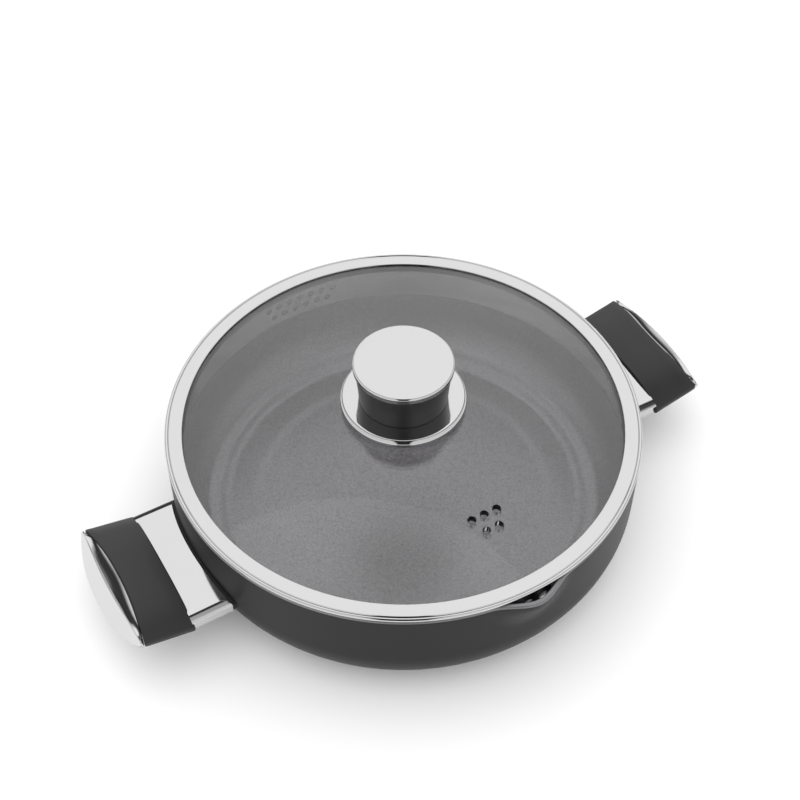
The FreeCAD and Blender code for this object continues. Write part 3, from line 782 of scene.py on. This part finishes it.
def make_knob():
    """Steel foot, tapered black body and steel cap, all turned."""
    low, high, reach, edge = FOOT_LOW[2], FOOT_HIGH[2], FOOT_HIGH[0], FOOT_ROUND
    seat = low + SEAT_DEPTH
    profile = [(KNOB_BORE, seat), (SEAT_RADIUS, seat), (SEAT_RADIUS, low), (reach - edge, low)]
    profile += round_points((reach - edge, low + edge), edge, -90, 0, 8)[1:]
    profile += straight_points(profile[-1], (reach, high - edge), 2)
    profile += round_points((reach - edge, high - edge), edge, 0, 90, 10)[1:]
    profile += straight_points(profile[-1], (KNOB_BORE, high), 6) + [(KNOB_BORE, seat)]
    finish(turn("knob_foot_disc", profile), "lid", ["knob_foot"], POLISHED, 25)

    base, crown = KNOB_LOW[2], KNOB_HIGH[2]
    profile = [(0, base + SOCKET_DEPTH), (SOCKET, base + SOCKET_DEPTH), (SOCKET, base),
               (KNOB_BASE - KNOB_EDGE, base)]
    profile += round_points((KNOB_BASE - KNOB_EDGE, base + KNOB_EDGE), KNOB_EDGE, -90, 0, 4)[1:]
    hollow = KNOB_MIDDLE - (KNOB_BASE + KNOB_SHOULDER) / 2
    for share in (k / 20 for k in range(1, 21)):
        radius = part_way(KNOB_BASE, KNOB_SHOULDER, share) + 4 * hollow * share * (1 - share)
        profile.append((radius, part_way(base + KNOB_EDGE, crown, share)))
    profile += straight_points((KNOB_SHOULDER, crown), (0, crown), 4)
    finish(turn("knob_grip", profile), "lid", ["knob_body"], GRIP, 35)

    low, high, reach = CAP_LOW[2], CAP_HIGH[2], CAP_HIGH[0]
    profile = [(0, low), (reach - CAP_LOW_ROUND, low)]
    profile += round_points((reach - CAP_LOW_ROUND, low + CAP_LOW_ROUND), CAP_LOW_ROUND, -90, 0, 5)[1:]
    profile += round_points((reach - CAP_TOP_ROUND, high - CAP_TOP_ROUND), CAP_TOP_ROUND, 0, 90, 8)
    profile += straight_points(profile[-1], (0, high), 6)
    finish(turn("knob_cap_disc", profile), "lid", ["knob_cap"], POLISHED, 25)


# ---------------------------------------------------------------- pieces kept from the frame
KEPT = {
    "handle_gasket_": BLACK_SILICONE, "handle_core_": CORE, "handle_screw_": PLAIN_STEEL,
    "handle_washer_": PLAIN_STEEL, "lid_glass_seal": BLACK_SILICONE, "knob_insert": BRASS,
    "knob_screw": PLAIN_STEEL, "knob_washer": PLAIN_STEEL, "knob_gasket_": BLACK_SILICONE,
}


def dress_kept_nodes():
    """Put the finished materials on the CAD nodes that stay."""
    for name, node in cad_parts.items():
        for start, material in KEPT.items():
            if name.startswith(start):
                node.data.materials.clear()
                node.data.materials.append(material)


# ---------------------------------------------------------------- stage, light and camera
def make_stage():
    """Plain pale floor."""
    bpy.ops.object.select_all(action="DESELECT")
    bpy.ops.mesh.primitive_plane_add(size=14, location=(0, 0, -0.2 * MM))
    floor = bpy.context.object
    floor.name = "floor"
    s = Surface("pale_floor")
    shade = s.noise(3.0, 2.0)
    floor.data.materials.append(s.show(s.principled(Base_Color=s.blend(shade, grey(0.93), grey(0.95)),
                                                    Roughness=0.9)))


PANEL_SIDE = Vector((0.328, 0.568, 0.755))  # where the bright overhead panel hangs
SLIT_ACROSS = Vector((0.866, -0.5, 0.0))  # across the dark gap between the two front panels
PANEL_EDGE, PANEL_SOFT, FRAME_EDGE, FRAME_SOFT = 0.77, 0.05, 0.62, 0.08
SLIT_HALF, SLIT_SOFT, FRONT, FRONT_SOFT = 0.17, 0.06, 0.12, 0.1
CEILING_AIM, CEILING_ENERGY, CEILING_SPREAD = Vector((0.25, 0.1, -1)), 0.6, math.radians(70)
ROOM, PANEL, FRAME, SLIT, SOFT_ROOM, BACKDROP = 0.864, 1.2, 0.05, 0.032, 1.136, 1.0


def make_light():
    """White room: a bright overhead panel in a dark frame, and a dark gap between the front panels."""
    scene = bpy.context.scene
    scene.view_settings.view_transform = "Standard"
    world = bpy.data.worlds.new("white_room")
    scene.world = world
    world.use_nodes = True
    s = Nodes(world.node_tree)
    direction = s.node("ShaderNodeTexCoord", out="Generated")

    def along(axis):
        return s.node("ShaderNodeVectorMath", {"operation": "DOT_PRODUCT"},
                      {0: direction, 1: axis}, out="Value")

    towards = along(PANEL_SIDE)
    across = along(SLIT_ACROSS)
    forward = along(SLIT_ACROSS.cross(Vector((0, 0, 1))))
    panel = towards.above(PANEL_EDGE, PANEL_SOFT)
    frame_ring = towards.above(FRAME_EDGE, FRAME_SOFT) * (1 - panel)
    near_middle = (SLIT_HALF - across.maths("ABSOLUTE", across)).above(0.0, SLIT_SOFT)
    slit = near_middle * forward.above(FRONT, FRONT_SOFT)
    level = ROOM + panel * (PANEL - ROOM) - frame_ring * (ROOM - FRAME)
    level = level - slit * (level - SLIT)
    matt = s.node("ShaderNodeLightPath", out="Is Diffuse Ray")
    level = level + matt * (SOFT_ROOM - level)
    seen = s.node("ShaderNodeLightPath", out="Is Camera Ray")
    level = level + seen * (BACKDROP - level)
    background = s.node("ShaderNodeBackground", sockets={"Color": grey(1.0), "Strength": level})
    output = s.tree.nodes.new("ShaderNodeOutputWorld")
    s.tree.links.new(background.socket, output.inputs["Surface"])
    lamp = bpy.data.lights.new("ceiling", "SUN")
    lamp.energy = CEILING_ENERGY
    lamp.angle = CEILING_SPREAD
    ceiling = bpy.data.objects.new("ceiling", lamp)
    scene.collection.objects.link(ceiling)
    ceiling.rotation_euler = CEILING_AIM.to_track_quat("-Z", "Y").to_euler()
    ceiling.visible_glossy = False


CAMERA_TURN = math.radians(-30)
CAMERA_ELEVATION = math.radians(49)
CAMERA_DISTANCE = 0.7857
CAMERA_LENS, CAMERA_SENSOR, CAMERA_NEAR = 62.85, 36, 0.01
AIM_RIGHT, AIM_UP = -1.9 * MM, 10.95 * MM


def make_camera():
    """Three-quarter view from above, aimed a little above the rim's centre."""
    a, e = CAMERA_TURN, CAMERA_ELEVATION
    back = Vector((math.sin(a) * math.cos(e), -math.cos(a) * math.cos(e), math.sin(e)))
    right = Vector((math.cos(a), math.sin(a), 0))
    up = right.cross(-back)
    aim = Vector((0, 0, PAN_HEIGHT)) + right * AIM_RIGHT + up * AIM_UP
    data = bpy.data.cameras.new("camera")
    data.lens = CAMERA_LENS
    data.sensor_width = CAMERA_SENSOR
    data.clip_start = CAMERA_NEAR
    camera = bpy.data.objects.new("camera", data)
    bpy.context.scene.collection.objects.link(camera)
    camera.location = aim + back * CAMERA_DISTANCE
    camera.rotation_euler = (-back).to_track_quat("-Z", "Y").to_euler()
    bpy.context.scene.camera = camera


make_camera()
make_stage()
make_light()
make_pan()
make_disc()
make_handles()
make_band()
make_glass()
make_knob()
dress_kept_nodes()
